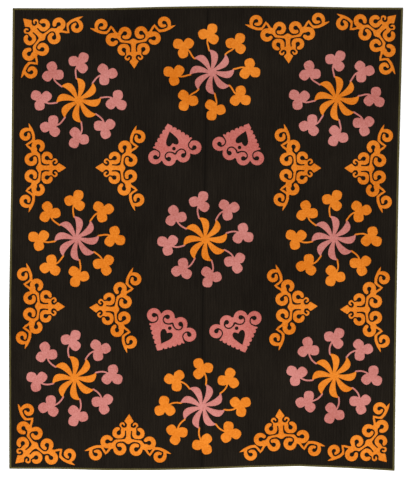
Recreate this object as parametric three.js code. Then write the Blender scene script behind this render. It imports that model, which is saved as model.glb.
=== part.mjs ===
// Applique quilt: a bound cover quilted in narrow channels, laid flat, with cut cloth sewn to its face.
// Millimetres, +Z up, +Y towards the quilt's head. The origin is under its middle, on the surface it lies on.
import * as THREE from 'three';

// Sizes of the quilt
const WIDTH = 1900;
const LENGTH = 2260;
const CHANNEL_PITCH = 12.7;
const CROWN_HEIGHT = 5.2; // top of the filling between two quilting lines
const LINE_HEIGHT = 3.4; // top along a quilting line
const JOIN_HEIGHT = 3.0; // top along the join of the two ground widths
const WAVER = 3.5; // how far a hand-drawn quilting line strays
const WAVER_RUN = 140; // across the quilt, for one radian of the straying
const WAVER_SHIFT = 2; // radians, from one row of points to the next
const CLEARANCE = 0.3; // kept between neighbouring pieces

// Sizes of the binding, a strip folded round the quilt's pressed edge
const BINDING_WIDTH = 10;
const BINDING_WALL = 1.0;
const MARGIN_THICKNESS = 1.7;
const MARGIN_BASE = BINDING_WALL + CLEARANCE;
const MARGIN_TOP = MARGIN_BASE + MARGIN_THICKNESS;
const BINDING_TOP = MARGIN_TOP + CLEARANCE + BINDING_WALL;

// Heights of the sewn-on cloth
const PATCH_THICKNESS = 1.0;
const PATCH_BASE = CROWN_HEIGHT + CLEARANCE;
const WHIRL_BASE = PATCH_BASE + PATCH_THICKNESS + CLEARANCE;

// How far each edge runs outside its straight line, at even steps, left to right or foot to head
const EDGE_OUT = {
  foot: [-1, 0, 6, 6, 1, -8, -14, -5, 9],
  head: [-2, -3, -2, 4, 8, 9, 6, 1, 0],
  left: [14, 16, 3.5, -3],
  right: [-26, -17, -4, 16],
};

// Whirl: comma blades round a hub. Each blade's points are in its own frame, x outwards, y anticlockwise.
const WHIRL = {
  blades: 8,
  hub: 20,
  tip: [109, 18],
  bellyPull: [[52, -32], [112, -58]],
  hollowPull: [[80, 5], [45, 4]],
  bellySteps: 4,
  hollowSteps: 2,
};

// Sprig: a stem from a blade's tip to a trefoil. Turns are in degrees from the line through the tip.
const SPRIG = {
  hub: 12,
  stem: 4.6, // half its width
  underBlade: { radius: 88, turn: -14 },
  start: 108,
  trefoil: { radius: 185, turn: -9.8, axis: -45 },
  lobe: {
    distance: 27,
    radius: 25,
    spread: 115,
    samples: [-50, -17, 17, 50],
    sideSamples: [-50, -17, 15, 40], // a side lobe ends at the stem
  },
  joint: 26.3, // from the trefoil's middle back to where its stem leaves the lobes
};

// Wreaths: middle on the cloth, turn in degrees, lean of the sprigs in degrees, tilts of the even and the odd
// trefoils in degrees, and hand, the way the sprigs bend
const WREATHS = [
  { x: -623, y: 679, turn: -3, lean: 2, tilts: [1, 1], hand: 1, whirl: 'orange' },
  { x: 25, y: 808, turn: -2, lean: 6, tilts: [12, 53], hand: 1, whirl: 'pink' },
  { x: 637, y: 682, turn: -3, lean: 4, tilts: [0, 0], hand: 1, whirl: 'orange' },
  { x: -623, y: 2, turn: -2, lean: 4, tilts: [12, 12], hand: 1, whirl: 'pink' },
  { x: 7, y: -8, turn: 7, lean: 1, tilts: [2, 2], hand: 1, whirl: 'orange' },
  { x: 636, y: -4, turn: 0, lean: 1, tilts: [1, 1], hand: 1, whirl: 'pink' },
  { x: -628, y: -682, turn: 5, lean: -1, tilts: [-2, -2], hand: 1, whirl: 'orange' },
  { x: 2, y: -823, turn: -18, lean: 0, tilts: [4, 4], hand: -1, whirl: 'pink' },
  { x: 648, y: -679, turn: 2, lean: -3, tilts: [-5, -5], hand: 1, whirl: 'orange' },
];

// Scroll bracket, right half. The spear's tip is at the bottom and the middle of the arms at the origin.
const SCROLL = {
  spear: { tip: -140, shoulder: [23, -106], neck: [9, -87] },
  curl: { eye: [33, -86], r: 15, from: 215, to: 380, steps: 2 },
  stemVolute: { eye: [47, -47], r: 30, from: 284, to: 485, steps: 4 },
  stemSlit: [[14, -61], [9, -42], [36, -12]],
  armUnder: [73, -7],
  outerVolute: { eye: [105, 2], r: 32, from: 225, to: 432, steps: 4 },
  zigUnder: [[99, 45], [105, 55]],
  terminalFoot: { eye: [151, 80], r: 47, from: 240, to: 292, steps: 1 },
  tail: [[208, 68], [186, 71]],
  terminal: { eye: [151, 80], r: 35, from: -8, to: 222, steps: 4 },
  zigOver: [[128, 53], [104, 74]],
  innerVolute: { eye: [41, 39], r: 34, from: 32, to: 285, steps: 4 },
  armOver: [[67, 12], [38, -1]],
  notch: 8,
  span: 151, // from the middle to a terminal volute's eye
  mostShare: 1.2, // of the sag and spread, reached at the tail
};

// Scroll brackets: spear tip on the cloth, the way it points in degrees anticlockwise from the foot,
// and how far the arms sag towards the spear and spread outwards at their ends, as the cutter let them
const SCROLLS = [
  { name: 'head_left', x: -354, y: 831, turn: 2, sag: 5, spread: 0 },
  { name: 'head_right', x: 399, y: 849, turn: 2, sag: 12, spread: -2 },
  { name: 'foot_left', x: -359, y: -855, turn: 178, sag: 22, spread: 3 },
  { name: 'foot_right', x: 380, y: -846, turn: 184, sag: 12, spread: 2 },
  { name: 'left_upper', x: -681, y: 348, turn: 90, sag: 27, spread: 9 },
  { name: 'inner_left_upper', x: -538, y: 350, turn: -91, sag: 12, spread: 0 },
  { name: 'inner_right_upper', x: 569, y: 338, turn: 89, sag: 24, spread: 3 },
  { name: 'right_upper', x: 682, y: 341, turn: -91, sag: 19, spread: 8 },
  { name: 'left_lower', x: -675, y: -333, turn: 89, sag: 17, spread: 1 },
  { name: 'inner_left_lower', x: -556, y: -335, turn: -94, sag: 10, spread: 0 },
  { name: 'inner_right_lower', x: 563, y: -340, turn: 92, sag: 12, spread: 1 },
  { name: 'right_lower', x: 673, y: -353, turn: -90, sag: 11, spread: 0 },
  { name: 'corner_head_left', x: -898, y: 1079, turn: -135, sag: 11, spread: 4 },
  { name: 'corner_head_right', x: 916, y: 1094, turn: 134, sag: 5, spread: -3 },
  { name: 'corner_foot_left', x: -919, y: -1103, turn: -47, sag: 2, spread: -4 },
  { name: 'corner_foot_right', x: 911, y: -1089, turn: 43, sag: 8, spread: -2 },
];

// Heart motif, left half. The round hole is at the origin and the pinked edges meet in a point at the top.
const HEART = {
  apex: 123,
  corner: [-99, 26],
  // Nicks in a pinked edge, in shares of its length but for their depth
  nicks: { count: 5, first: 0.225, pitch: 0.17, half: 0.045, depth: 8 },
  edgeBow: 3, // how far a pinked edge bows outwards
  outerVolute: { eye: [-100, -22], r: 33, from: 62, to: 305, steps: 4 },
  outerSlit: [[-84, 12], [-66, -8]],
  innerVolute: { eye: [-35, -46], r: 33.5, from: 222, to: 350, steps: 2 },
  meeting: -31, // foot of the slit, above where the two inner volutes touch
  slit: { eye: [-35, -46], r: 34, width: 6, from: 168, curlEnd: 132, to: 45, steps: 2 },
  cut: { point: 86, side: [[-29, 40], [-29, 25], [-17, 16]], notch: 27 },
  dot: { eye: [0, 0], r: 8.5, from: 0, to: 300, steps: 5 },
};

// Hearts: round hole on the cloth and the way the point leans, in degrees anticlockwise from the head
const HEARTS = [
  { name: 'head_left', x: -155, y: 440, turn: 14 },
  { name: 'head_right', x: 168, y: 440, turn: -21 },
  { name: 'foot_left', x: -162, y: -441, turn: 151 },
  { name: 'foot_right', x: 168, y: -449, turn: -161 },
];

const CLOTH_ROUGHNESS = 0.95;
const COLOURS = { ground: 0x211b16, binding: 0x57502d, orange: 0xe68228, pink: 0xc87b73, rose: 0xca726a };

const MATERIALS = Object.fromEntries(
  Object.entries(COLOURS).map(([name, color]) => [
    name,
    new THREE.MeshStandardMaterial({ name, color, roughness: CLOTH_ROUGHNESS }),
  ]),
);

const quilt = new THREE.Group();
quilt.name = 'applique_quilt';

function addSolid(geometry, name, cloth) {
  const solid = new THREE.Mesh(geometry, MATERIALS[cloth]);
  solid.name = name;
  quilt.add(solid);
}

// Value at t, from 0 to 1, on straight runs between evenly spaced values
function stepped(values, t) {
  const position = THREE.MathUtils.clamp(t, 0, 1) * (values.length - 1);
  const step = Math.min(Math.floor(position), values.length - 2);
  return THREE.MathUtils.lerp(values[step], values[step + 1], position - step);
}

// Where a point of the straight rectangle lies on the quilt, whose edges lean and wander
function onCloth(x, y) {
  const across = x / WIDTH + 0.5;
  const along = y / LENGTH + 0.5;
  const left = -WIDTH / 2 - stepped(EDGE_OUT.left, along);
  const right = WIDTH / 2 + stepped(EDGE_OUT.right, along);
  const foot = -LENGTH / 2 - stepped(EDGE_OUT.foot, across);
  const head = LENGTH / 2 + stepped(EDGE_OUT.head, across);
  return [THREE.MathUtils.lerp(left, right, across), THREE.MathUtils.lerp(foot, head, along)];
}

function clothPoint(x, y, z) {
  return [...onCloth(x, y), z];
}

// Positions where an edge changes its lean, with the two ends that are given
function stations(size, edge, end) {
  const inner = edge.slice(1, -1).map((value, k) => ((k + 1) / (edge.length - 1) - 0.5) * size);
  return [-end, ...inner, end];
}

// Skin between two rows of points of the same count. Its front is to the left of row a, towards row b.
function band(skin, a, b) {
  for (let k = 0; k + 1 < a.length; k += 1) {
    skin.push(a[k], a[k + 1], b[k]);
    skin.push(b[k], a[k + 1], b[k + 1]);
  }
}

// Skin between two rows of different counts that run the same way along x
function unevenBand(skin, a, b) {
  const way = Math.sign(a.at(-1)[0] - a[0][0]);
  let i = 0;
  let j = 0;
  while (i + 1 < a.length || j + 1 < b.length) {
    const aNext = i + 1 < a.length ? a[i + 1][0] * way : Infinity;
    const bNext = j + 1 < b.length ? b[j + 1][0] * way : Infinity;
    if (aNext <= bNext) {
      skin.push(a[i], a[i + 1], b[j]);
      i += 1;
    } else {
      skin.push(a[i], b[j + 1], b[j]);
      j += 1;
    }
  }
}

function skinGeometry(skin) {
  const geometry = new THREE.BufferGeometry();
  geometry.setAttribute('position', new THREE.Float32BufferAttribute(skin.flat(), 3));
  return geometry;
}

// Closed loop round the quilt at one distance from its straight middle lines, anticlockwise
function rim(halfWidth, halfLength, z) {
  const xs = stations(WIDTH, EDGE_OUT.foot, halfWidth);
  const ys = stations(LENGTH, EDGE_OUT.left, halfLength);
  const foot = xs.map((x) => clothPoint(x, -halfLength, z));
  const right = ys.map((y) => clothPoint(halfWidth, y, z));
  const head = xs.map((x) => clothPoint(x, halfLength, z)).reverse();
  const left = ys.map((y) => clothPoint(-halfWidth, y, z)).reverse();
  return [...foot, ...right.slice(1), ...head.slice(1), ...left.slice(1)];
}

// Filled ground, quilted in channels that run from foot to head
function groundGeometry() {
  const fieldX = WIDTH / 2 - BINDING_WIDTH - CLEARANCE;
  const fieldY = LENGTH / 2 - BINDING_WIDTH - CLEARANCE;
  const rimX = WIDTH / 2 - BINDING_WALL - CLEARANCE;
  const rimY = LENGTH / 2 - BINDING_WALL - CLEARANCE;
  const channels = 2 * Math.round(fieldX / CHANNEL_PITCH);
  const columns = 2 * channels;
  const xs = stations(WIDTH, EDGE_OUT.foot, fieldX);
  const ys = stations(LENGTH, EDGE_OUT.left, fieldY);

  const topHeight = (column) => {
    const atEdge = column === 0 || column === columns;
    if (column === channels) return JOIN_HEIGHT;
    return atEdge || column % 2 === 1 ? CROWN_HEIGHT : LINE_HEIGHT;
  };
  const topRow = (y, row) => {
    const inside = row > 0 && row + 1 < ys.length;
    return Array.from({ length: columns + 1 }, (unused, column) => {
      const x = -fieldX + (2 * fieldX * column) / columns;
      const easing = Math.abs(Math.sin((2 * Math.PI * column) / columns)); // none at the edges and the join
      const stray = inside ? WAVER * easing * Math.sin(x / WAVER_RUN + WAVER_SHIFT * row) : 0;
      return clothPoint(x + stray, y, topHeight(column));
    });
  };

  const skin = [];
  const rows = ys.map(topRow);
  const underRows = ys.map((y) => xs.map((x) => clothPoint(x, y, 0)));
  for (let row = 0; row + 1 < ys.length; row += 1) {
    band(skin, rows[row], rows[row + 1]);
    band(skin, underRows[row + 1], underRows[row]);
  }

  // Pressed margin that the binding takes in
  band(skin, rim(fieldX, fieldY, 0), rim(fieldX, fieldY, MARGIN_BASE));
  band(skin, rim(fieldX, fieldY, MARGIN_BASE), rim(rimX, rimY, MARGIN_BASE));
  band(skin, rim(rimX, rimY, MARGIN_BASE), rim(rimX, rimY, MARGIN_TOP));
  band(skin, rim(rimX, rimY, MARGIN_TOP), rim(fieldX, fieldY, MARGIN_TOP));

  // Ends and sides of the channels, above the margin
  const marginRow = (y) => xs.map((x) => clothPoint(x, y, MARGIN_TOP));
  const marginSide = (x) => ys.map((y) => clothPoint(x, y, MARGIN_TOP));
  unevenBand(skin, marginRow(-fieldY), rows[0]);
  unevenBand(skin, marginRow(fieldY).reverse(), rows.at(-1).toReversed());
  band(skin, marginSide(fieldX), rows.map((row) => row.at(-1)));
  band(skin, marginSide(-fieldX).reverse(), rows.map((row) => row[0]).reverse());
  return skinGeometry(skin);
}

// Binding strip along one edge, its section folded round the margin and its ends mitred
function bindingGeometry(turn, halfOut, halfAlong, alongSize, edge) {
  const cavityTop = MARGIN_TOP + CLEARANCE;
  const section = [
    { inset: BINDING_WIDTH, z: 0 },
    { inset: BINDING_WALL, z: 0 },
    { inset: 0, z: BINDING_WALL },
    { inset: 0, z: cavityTop },
    { inset: BINDING_WALL, z: BINDING_TOP },
    { inset: BINDING_WIDTH, z: BINDING_TOP },
    { inset: BINDING_WIDTH, z: cavityTop },
    { inset: BINDING_WALL, z: cavityTop },
    { inset: BINDING_WALL, z: BINDING_WALL },
    { inset: BINDING_WIDTH, z: BINDING_WALL },
  ];
  const angle = (turn * Math.PI) / 2;
  const way = [Math.round(Math.cos(angle)), Math.round(Math.sin(angle))];
  const out = [way[1], -way[0]];
  const mitreGap = CLEARANCE / Math.SQRT2;
  const steps = edge.length - 1;

  const loops = Array.from({ length: steps + 1 }, (unused, step) =>
    section.map(({ inset, z }) => {
      const end = halfAlong - inset - mitreGap;
      const along = stations(alongSize, edge, end)[step];
      const side = halfOut - inset;
      return clothPoint(along * way[0] + side * out[0], along * way[1] + side * out[1], z);
    }),
  );

  const skin = [];
  const closed = (loop) => [...loop, loop[0]];
  for (let step = 0; step < steps; step += 1) {
    band(skin, closed(loops[step + 1]), closed(loops[step]));
  }
  const contour = section.map(({ inset, z }) => new THREE.Vector2(-inset, z));
  for (const [a, b, c] of THREE.ShapeUtils.triangulateShape(contour, [])) {
    skin.push(loops[0][a], loops[0][b], loops[0][c]);
    skin.push(loops[steps][a], loops[steps][c], loops[steps][b]);
  }
  return skinGeometry(skin);
}

function polar(radius, degrees) {
  const angle = THREE.MathUtils.degToRad(degrees);
  return [radius * Math.cos(angle), radius * Math.sin(angle)];
}

function turned([x, y], degrees) {
  const angle = THREE.MathUtils.degToRad(degrees);
  return [x * Math.cos(angle) - y * Math.sin(angle), x * Math.sin(angle) + y * Math.cos(angle)];
}

function plus(a, b) {
  return [a[0] + b[0], a[1] + b[1]];
}

function arc({ eye, r, from, to, steps }) {
  const turnAt = (k) => from + ((to - from) * k) / steps;
  return Array.from({ length: steps + 1 }, (unused, k) => plus(eye, polar(r, turnAt(k))));
}

// Points of a cubic curve after its start, up to and with its end
function curve(start, pulls, end, steps) {
  const [a, b, c, d] = [start, ...pulls, end].map(([x, y]) => new THREE.Vector2(x, y));
  const points = new THREE.CubicBezierCurve(a, b, c, d).getPoints(steps);
  return points.slice(1).map(({ x, y }) => [x, y]);
}

// Cut cloth of one outline and its holes, laid on the quilt at a height
function patchGeometry(outline, holes, x, y, turn, base) {
  const vectors = (loop) => loop.map(([px, py]) => new THREE.Vector2(px, py));
  const shape = new THREE.Shape(vectors(outline));
  shape.holes = holes.map((hole) => new THREE.Path(vectors(hole)));
  const geometry = new THREE.ExtrudeGeometry(shape, { depth: PATCH_THICKNESS, bevelEnabled: false });
  geometry.rotateZ(THREE.MathUtils.degToRad(turn));
  geometry.translate(...clothPoint(x, y, base));
  return geometry;
}

function whirlOutline() {
  const step = 360 / WHIRL.blades;
  const blade = (k) => {
    const root = polar(WHIRL.hub, -step / 2);
    const next = polar(WHIRL.hub, step / 2);
    const belly = curve(root, WHIRL.bellyPull, WHIRL.tip, WHIRL.bellySteps);
    const hollow = curve(WHIRL.tip, WHIRL.hollowPull, next, WHIRL.hollowSteps);
    return [root, ...belly, ...hollow.slice(0, -1)].map((point) => turned(point, k * step));
  };
  return Array.from({ length: WHIRL.blades }, (unused, k) => blade(k)).flat();
}

// Distance from a trefoil's middle to its edge, at an angle from its axis
function trefoilRadius(degrees) {
  const { distance, radius, spread } = SPRIG.lobe;
  const off = Math.min(...[-spread, 0, spread].map((lobe) => Math.abs(degrees - lobe)));
  const angle = THREE.MathUtils.degToRad(off);
  return distance * Math.cos(angle) + Math.sqrt(radius ** 2 - (distance * Math.sin(angle)) ** 2);
}

// Eight sprigs whose stems run on under the whirl and meet at its hub
function sprayOutline(hand, lean, tilts) {
  const step = 360 / WHIRL.blades;
  const tipTurn = THREE.MathUtils.radToDeg(Math.atan2(WHIRL.tip[1], WHIRL.tip[0]));
  const { trefoil, lobe, stem, underBlade } = SPRIG;
  const jointTurn = THREE.MathUtils.radToDeg(Math.atan2(stem, SPRIG.joint));
  const jointReach = Math.hypot(SPRIG.joint, stem);
  const side = lobe.sideSamples.map((sample) => lobe.spread + sample);
  const notch = lobe.spread / 2;
  const edgeTurns = [...side.map((turn) => -turn).reverse(), -notch, ...lobe.samples, notch, ...side];
  const middle = polar(trefoil.radius, trefoil.turn + lean * hand);
  const hidden = polar(underBlade.radius, underBlade.turn);

  const sprig = (k) => {
    const axis = trefoil.axis + tilts[k % 2];
    const edge = edgeTurns.map((turn) => plus(middle, polar(trefoilRadius(turn), axis + turn)));
    const rightJoint = plus(middle, polar(jointReach, axis - 180 + jointTurn));
    const leftJoint = plus(middle, polar(jointReach, axis + 180 - jointTurn));
    const outer = [rightJoint, ...edge, leftJoint];
    const head = hand > 0 ? outer : outer.map(([x, y]) => [x, -y]).reverse();
    const points = [
      plus(hidden, [0, -stem]),
      [SPRIG.start, -stem],
      ...head,
      [SPRIG.start, stem],
      plus(hidden, [0, stem]),
      polar(SPRIG.hub, step / 2 - tipTurn),
    ];
    return points.map((point) => turned(point, tipTurn + k * step));
  };
  return Array.from({ length: WHIRL.blades }, (unused, k) => sprig(k)).flat();
}

// Half a bracket, up its right side from the spear to the notch between the arms
function scrollHalf() {
  const s = SCROLL;
  return [
    s.spear.shoulder,
    s.spear.neck,
    s.curl.eye,
    ...arc(s.curl),
    s.stemVolute.eye,
    ...arc(s.stemVolute),
    ...s.stemSlit,
    s.armUnder,
    s.outerVolute.eye,
    ...arc(s.outerVolute),
    ...s.zigUnder,
    ...arc(s.terminalFoot),
    ...s.tail,
    ...arc(s.terminal),
    s.terminal.eye,
    ...s.zigOver,
    ...arc(s.innerVolute),
    s.innerVolute.eye,
    ...s.armOver,
  ];
}

// Points mirrored over the middle line, in the order that leads back
function mirroredBack(points) {
  return points.map(([x, y]) => [-x, y]).reverse();
}

// Whole bracket with the spear's tip at the origin
function scrollOutline(sag, spread) {
  const half = scrollHalf();
  const whole = [[0, SCROLL.spear.tip], ...half, [0, SCROLL.notch], ...mirroredBack(half)];
  return whole.map(([x, y]) => {
    const share = Math.min(Math.abs(x) / SCROLL.span, SCROLL.mostShare);
    return [x + Math.sign(x) * spread * share, y - sag * share ** 2 - SCROLL.spear.tip];
  });
}

// Pinked edge from the apex down to the corner, with nicks cut into it
function pinkedEdge() {
  const { apex, corner, nicks, edgeBow } = HEART;
  const along = [corner[0], corner[1] - apex];
  const length = Math.hypot(...along);
  const inward = [-along[1] / length, along[0] / length];
  const at = (share, depth) => {
    const onLine = [along[0] * share, apex + along[1] * share];
    const inset = depth - edgeBow * Math.sin(Math.PI * share);
    return plus(onLine, [inward[0] * inset, inward[1] * inset]);
  };
  const edge = [];
  for (let k = 0; k < nicks.count; k += 1) {
    const middle = nicks.first + k * nicks.pitch;
    edge.push(at(middle - nicks.half, 0), at(middle, nicks.depth), at(middle + nicks.half, 0));
  }
  return [...edge, corner];
}

function heartOutline() {
  const h = HEART;
  const left = [
    ...pinkedEdge(),
    ...h.outerSlit,
    h.outerVolute.eye,
    ...arc(h.outerVolute),
    ...arc(h.innerVolute),
  ];
  return [[0, h.apex], ...left, ...mirroredBack(left)];
}

// Cut heart, round hole, and the slit that curls into both inner volutes
function heartHoles() {
  const { cut, dot, slit, meeting } = HEART;
  const heart = [[0, cut.point], ...cut.side, [0, cut.notch], ...mirroredBack(cut.side)];
  const under = arc({ ...slit, from: slit.to, to: slit.curlEnd });
  const over = arc({ ...slit, r: slit.r + slit.width });
  const curl = [...under, slit.eye, ...over];
  return [heart, arc(dot), [[0, meeting], ...curl, ...mirroredBack(curl)]];
}

addSolid(groundGeometry(), 'quilt', 'ground');
const footEdge = [WIDTH, EDGE_OUT.foot];
const sideEdge = [LENGTH, EDGE_OUT.left];
addSolid(bindingGeometry(0, LENGTH / 2, WIDTH / 2, ...footEdge), 'binding_foot', 'binding');
addSolid(bindingGeometry(1, WIDTH / 2, LENGTH / 2, ...sideEdge), 'binding_right', 'binding');
addSolid(bindingGeometry(2, LENGTH / 2, WIDTH / 2, ...footEdge), 'binding_head', 'binding');
addSolid(bindingGeometry(3, WIDTH / 2, LENGTH / 2, ...sideEdge), 'binding_left', 'binding');

WREATHS.forEach(({ x, y, turn, lean, tilts, hand, whirl }, k) => {
  const spray = whirl === 'orange' ? 'pink' : 'orange';
  const sprigs = sprayOutline(hand, lean, tilts);
  addSolid(patchGeometry(sprigs, [], x, y, turn, PATCH_BASE), `spray_${k + 1}`, spray);
  addSolid(patchGeometry(whirlOutline(), [], x, y, turn, WHIRL_BASE), `whirl_${k + 1}`, whirl);
});

SCROLLS.forEach(({ name, x, y, turn, sag, spread }) => {
  addSolid(patchGeometry(scrollOutline(sag, spread), [], x, y, turn, PATCH_BASE), `scroll_${name}`, 'orange');
});

HEARTS.forEach(({ name, x, y, turn }) => {
  addSolid(patchGeometry(heartOutline(), heartHoles(), x, y, turn, PATCH_BASE), `heart_${name}`, 'rose');
});

export default quilt;
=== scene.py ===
import math
from dataclasses import dataclass
from functools import partial

import bpy
import numpy as np
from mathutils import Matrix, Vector
from mathutils.geometry import delaunay_2d_cdt


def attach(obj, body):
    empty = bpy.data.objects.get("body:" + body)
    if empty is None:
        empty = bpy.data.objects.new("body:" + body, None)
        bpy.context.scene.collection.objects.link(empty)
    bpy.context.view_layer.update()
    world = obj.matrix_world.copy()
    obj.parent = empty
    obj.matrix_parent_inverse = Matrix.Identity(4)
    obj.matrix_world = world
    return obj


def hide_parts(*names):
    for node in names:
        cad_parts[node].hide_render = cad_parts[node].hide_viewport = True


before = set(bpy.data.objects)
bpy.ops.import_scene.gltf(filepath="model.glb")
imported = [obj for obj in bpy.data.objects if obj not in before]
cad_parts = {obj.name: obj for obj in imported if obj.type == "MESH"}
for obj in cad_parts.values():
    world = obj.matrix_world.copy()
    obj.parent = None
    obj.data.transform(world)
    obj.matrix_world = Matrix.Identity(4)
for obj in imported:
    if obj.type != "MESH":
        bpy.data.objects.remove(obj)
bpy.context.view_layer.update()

# Lengths are in millimetres up to the meshes, which are in metres
MM = 0.001

# Quilt, straight, and how far each edge stands out from that, at even steps along it
WIDTH = 1900.0
LENGTH = 2260.0
FOOT_OUT = [-1, 0, 6, 6, 1, -8, -14, -5, 9]
HEAD_OUT = [-2, -3, -2, 4, 8, 9, 6, 1, 0]
LEFT_OUT = [14, 16, 3.5, -3]
RIGHT_OUT = [-26, -17, -4, 16]
STRAIGHTENING_ROUNDS = 5

# Binding, with its folded section as rows of inset from the edge and height, and the pressed margin in it
BINDING_WIDTH = 10.0
BINDING_TOP = 4.3
BINDING_STEP = 6.0
BINDING_SECTION = [
    (BINDING_WIDTH, 0), (2.2, 0), (0.8, 0.3), (0.15, 1.1), (0, 2.1), (0.15, 3.2), (0.9, 4.1),
    (2.4, BINDING_TOP + 0.2), (BINDING_WIDTH - 4.8, BINDING_TOP + 0.35),
    (BINDING_WIDTH - 2.2, BINDING_TOP + 0.3), (BINDING_WIDTH - 0.4, BINDING_TOP), (BINDING_WIDTH + 0.2, 3.9),
    (BINDING_WIDTH, 3.4), (5, 3.35), (1.6, 3.3), (1.05, 2.8), (1.05, 1.6), (1.6, 1.1), (5, 1.05),
    (BINDING_WIDTH, 1.0),
]
MITRE_GAP = 0.2
CLEARANCE = 0.3
MARGIN_INSET = 1.3
MARGIN_TOP = 3.0

# Unevenness of the fold's inner edge: rows of size, run, and how far the number of the quilt's edge shifts it
FOLD_WAVES = [(0.35, 31, 1), (0.25, 11, 0)]
FOLD_INSET = 4.0
FOLD_FADE = 8

# Quilting, in channels that run from foot to head on each side of the join
FIELD_X = WIDTH / 2 - BINDING_WIDTH - CLEARANCE
FIELD_Y = LENGTH / 2 - BINDING_WIDTH - CLEARANCE
FIELD_TOLERANCE = 0.1
CHANNELS_EACH_SIDE = 74
PITCH = FIELD_X / CHANNELS_EACH_SIDE
COLUMNS_PER_CHANNEL = 4
ROWS = 250
CROWN = 5.2
LINE = 3.4
SWELL = 0.75
JOIN = 3.0
JOIN_HALF = 6.0
SEED = 3.7

# How the lines waver, less towards the join and the edges, and the channels pucker. A scale is for each
# millimetre across and along.
WAVER = 3.5
WAVER_GAIN = 4.0
WAVER_SCALE = (0.004, 0.007)
WAVER_JOIN_FADE = 80.0
WAVER_EDGE_FADE = 60.0
PUCKER = 0.7
PUCKER_GAIN = 2.0
PUCKER_SCALE = (0.08, 0.05)

# Parts of a ground's mesh, as the number that its points keep
UNDERSIDE = 0.0
MARGIN = 0.5
FIELD = 1.0

# Sewn-on cloth: its heights, the whirl over its spray, and how stems and ground sink under other cloth
PATCH_LEVEL = 4.9
PATCH_THICKNESS = 0.9
PATCH_EDGE = 0.4
PATCH_UNDER = -1.8
PATCH_PUFF = 0.6
PUFF_RUN = 8.0
PATCH_RELIEF = 0.15
PATCH_PUCKER = 0.55
WHIRL_LIFT = 0.9
STEM_SINK = -0.7
STEM_SINK_EDGE = 2.0
GROUND_SINK = -1.2
GROUND_SINK_EDGE = 3.0
SINK_RUN = 6.0

# How finely a motif is cut out and meshed. Loops of no more points than a pinhole's are left out.
CUT_GRID = 1.6
CUT_TOLERANCE = 0.15
PINHOLE = 16
SLIVER = 0.001
SHORTEST_EDGE = 0.9
LONGEST_EDGE = 4.5
ROUNDING = 1.3
ROUNDING_CLEAR = 0.8 * ROUNDING
INNER_SPACING = 5.0
INNER_CLEAR = 0.5 * INNER_SPACING
CORNER = 4.0
PATH_PIECES = 6
VOLUTE_PIECES = 14
FAR_OFF = 99.0
TINY = 1e-9

# Thread: slanted stitches over the edges, and running stitches in the quilting lines
STITCH_SPACING = 10.0
STITCH_LENGTH = 4.2
STITCH_RADIUS = 0.32
STITCH_SIDES = 4
STITCH_SLANT = 65.0
STITCH_TILT = 16.0
RUNNING_PITCH = 4.5
RUNNING_SHARE = 0.6
RUNNING_EDGE = 0.46

# Whirl of comma blades
BLADES = 8
BLADE_STEP = 360 / BLADES
WHIRL_HUB = 18.0
BLADE_TIP = (109, 18)
BELLY_PULLS = [(54, -29), (105, -48)]
HOLLOW_PULLS = [(80, 2), (45, 2)]
BLADE_CURVE_STEPS = 14
WHIRL_REACH = 130.0

# Sprig of a stem and a trefoil, in a plane whose x axis runs through the blade's tip
SPRIG_HUB = 12.0
STEM_HALF = 3.9
HIDDEN_STEM = (88, -14)
STEM_START = 108.0
STEM_START_PULL = 26.0
STEM_END_PULL = 14.0
STEM_END = 10.0
STEM_CURVE_STEPS = 10
TREFOIL_RADIUS = 185.0
TREFOIL_TURN = -9.8
TREFOIL_AXIS = -45.0
TREFOIL_HEART = 12.0
LOBE_DISTANCE = 30.5
LOBE_RADIUS = 24.5
LOBE_SPREAD = 115.0
LOBE_TURN = 20.0
LOBE_SQUARENESS = 2.5
SPRAY_REACH = 245.0

# Wreaths: middle on the cloth, turn, lean of the sprigs, tilts of the even and the odd trefoils, the way the
# sprigs bend, and the whirl's cloth, with the spray in the other one
WREATHS = [
    (-623, 679, -3, 2, (1, 1), 1, "orange"),
    (25, 808, -2, 6, (12, 53), 1, "pink"),
    (637, 682, -3, 4, (0, 0), 1, "orange"),
    (-623, 2, -2, 4, (12, 12), 1, "pink"),
    (7, -8, 7, 1, (2, 2), 1, "orange"),
    (636, -4, 0, 1, (1, 1), 1, "pink"),
    (-628, -682, 5, -1, (-2, -2), 1, "orange"),
    (2, -823, -18, 0, (4, 4), -1, "pink"),
    (648, -679, 2, -3, (-5, -5), 1, "orange"),
]

# How far the outline of a mirrored half runs past its middle
PAST_MIDDLE = -20.0

# Scroll bracket, right half, with the spear's tip at the bottom. A strip's or a slit's rows are x, y and
# half its width. A volute's are the turn in degrees, the distance from its eye and half its width. The
# shares before them are how much of the arm's sag and spread the first and the last row take.
SPEAR_TIP = -140.0
SPEAR = [
    (PAST_MIDDLE, SPEAR_TIP), (0, SPEAR_TIP), (12, -122), (22, -106), (20, -100), (13, -94), (9, -87),
    (9, -70), (PAST_MIDDLE, -70),
]
SCROLL_STRIPS = [
    (0, 0, [(0, -96, 8), (0, -78, 10), (0, -60, 14), (0, -40, 14), (0, -22, 15), (0, -6, 12)]),
    (0, 0, [(0, -70, 9), (16, -66, 9), (31, -62, 9)]),
    (0, 0.42, [
        (0, -6, 12), (20, -9, 8), (42, -5, 8), (60, 4, 11), (70, 18, 12), (78, 28, 12), (86, 32, 10),
    ]),
    (0.42, 0.7, [(82, 32, 7), (90, 48, 5), (99, 63, 5), (107, 76, 0.8)]),
    (0.7, 1, [(107, 76, 0.8), (112, 65, 5), (121, 53, 5), (131, 46, 6)]),
    (1, 1, [(131, 46, 6), (150, 47, 6.8), (168, 53, 7), (184, 60, 6.5), (198, 66, 3.6), (209, 70, 0.6)]),
]
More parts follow.
